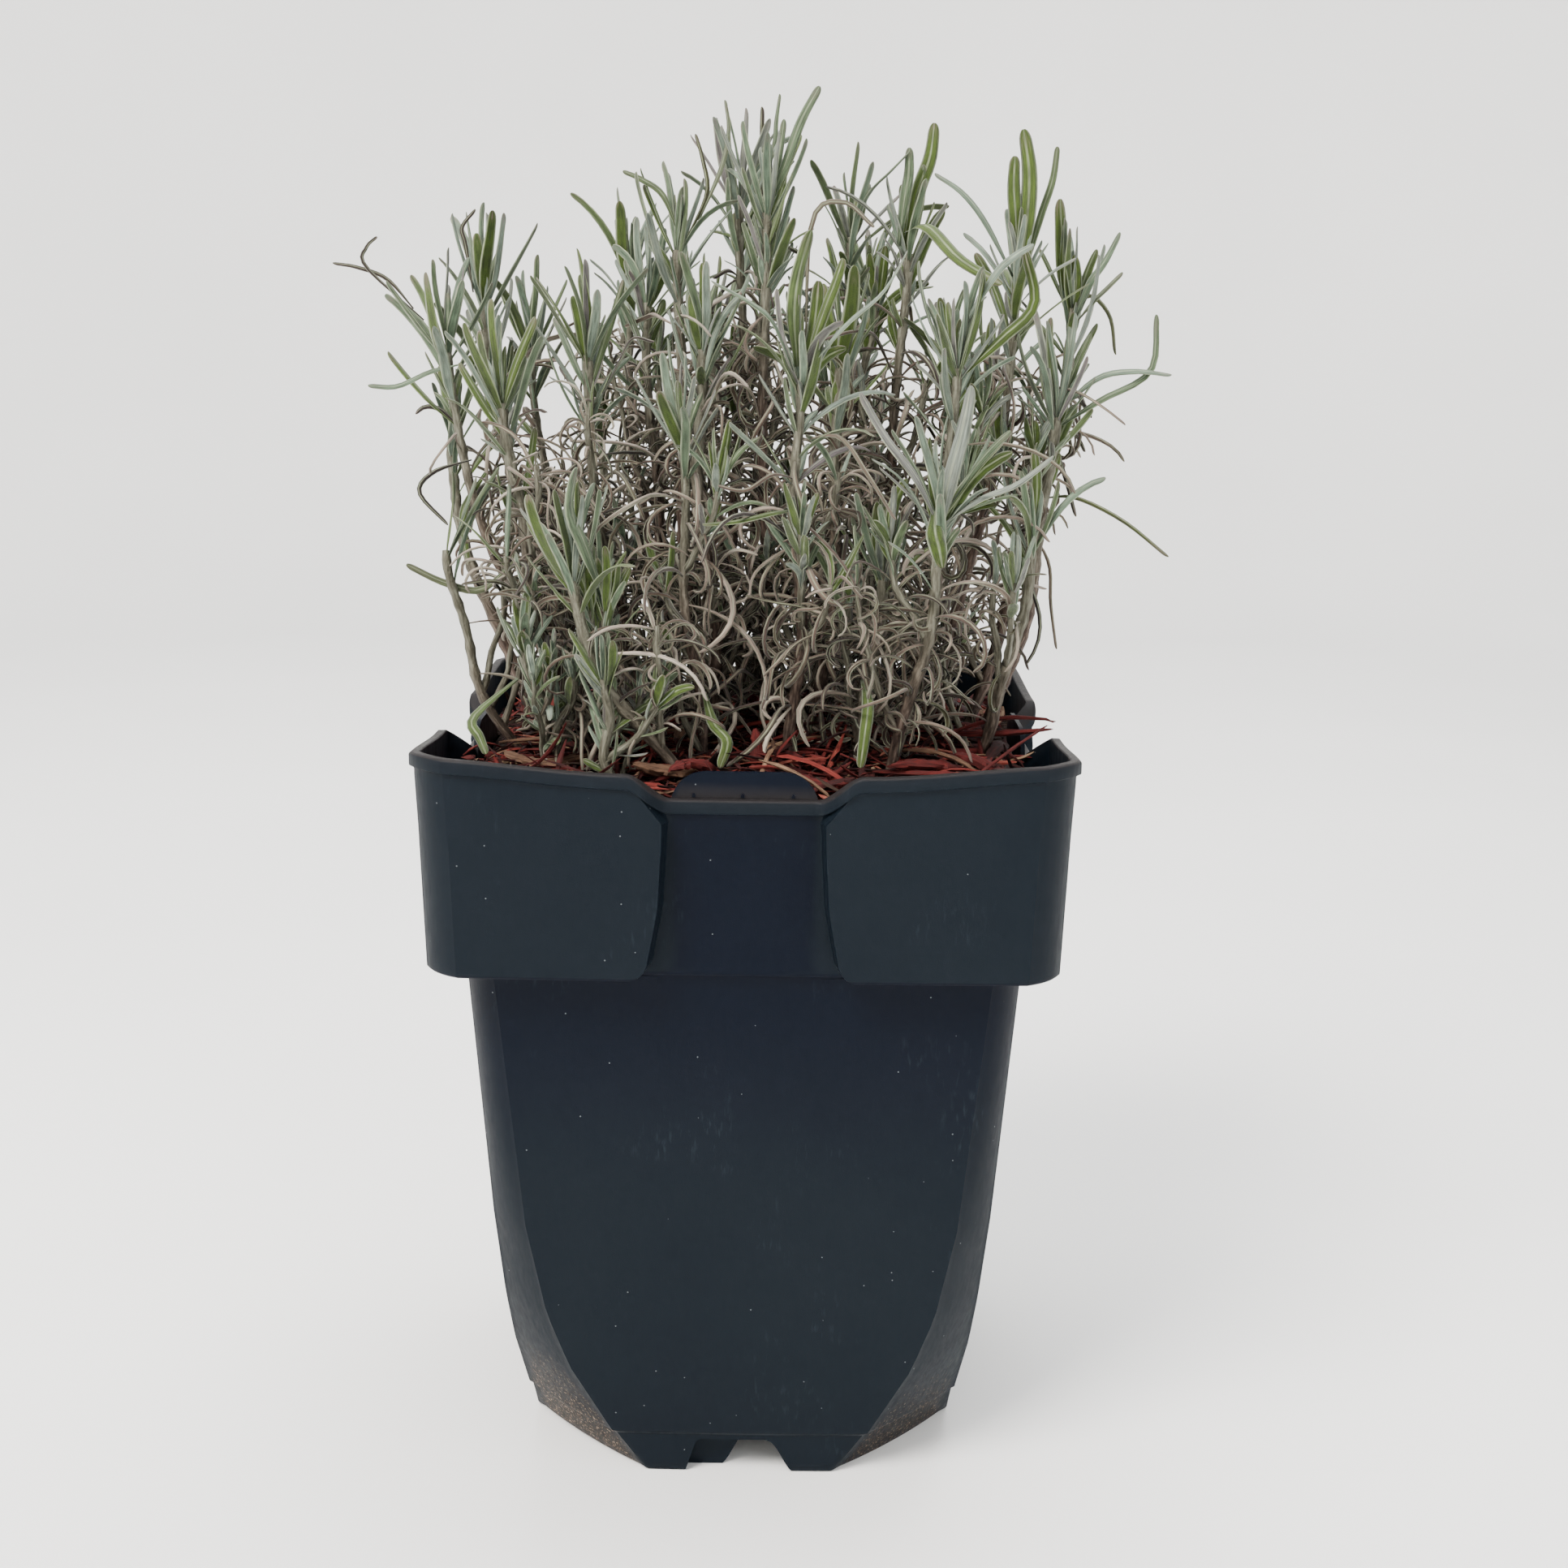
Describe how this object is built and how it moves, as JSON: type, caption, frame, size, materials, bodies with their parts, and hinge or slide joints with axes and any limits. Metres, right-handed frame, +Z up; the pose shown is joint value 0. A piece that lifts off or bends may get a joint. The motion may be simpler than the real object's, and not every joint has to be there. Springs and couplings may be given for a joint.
{
  "type": "potted lavender",
  "caption": "Bushy young lavender with narrow grey-green leaves, in a tall square tapered nursery pot with a deep collar, its compost covered by shredded bark.",
  "frame": {"origin": "centre of the pot's footprint, on the surface that it stands on", "axes": "+Z up through the plant, +X to the right and -Y to the front, square to the pot's sides"},
  "size_m": [0.237, 0.2, 0.384],
  "materials": {
    "pot_plastic": "dark blue-grey moulded polypropylene, matte, lightly scuffed and dusty",
    "compost": "damp dark potting compost, crumbly",
    "dyed_bark": "shredded bark dyed dark red, fibrous and matte",
    "brown_bark": "undyed brown bark chips, fibrous and matte",
    "foliage": "felted grey-green leaves on brown-grey woody stems, matte"
  },
  "bodies": {
    "root": {"nursery_pot": "pot_plastic", "compost_root_ball": "compost", "bark_mulch": "dyed_bark", "bark_chip_01": "brown_bark", "bark_chip_02": "dyed_bark", "bark_chip_03": "dyed_bark", "bark_chip_04": "dyed_bark", "bark_chip_05": "dyed_bark", "bark_chip_06": "dyed_bark", "bark_chip_07": "brown_bark", "bark_chip_08": "dyed_bark", "bark_chip_09": "dyed_bark", "shoot_01": "foliage", "shoot_02": "foliage", "shoot_03": "foliage", "shoot_04": "foliage", "shoot_05": "foliage", "shoot_06": "foliage", "shoot_07": "foliage", "shoot_08": "foliage", "shoot_09": "foliage", "shoot_10": "foliage", "shoot_11": "foliage", "shoot_12": "foliage", "shoot_13": "foliage", "shoot_14": "foliage", "shoot_15": "foliage", "shoot_16": "foliage", "shoot_17": "foliage", "shoot_18": "foliage", "shoot_19": "foliage", "shoot_20": "foliage", "shoot_21": "foliage", "shoot_22": "foliage", "shoot_23": "foliage", "shoot_24": "foliage", "shoot_25": "foliage", "shoot_26": "foliage", "shoot_27": "foliage", "shoot_28": "foliage", "shoot_29": "foliage", "shoot_30": "foliage", "shoot_31": "foliage", "shoot_32": "foliage", "shoot_33": "foliage", "shoot_34": "foliage", "shoot_35": "foliage"}
  },
  "joints": []
}
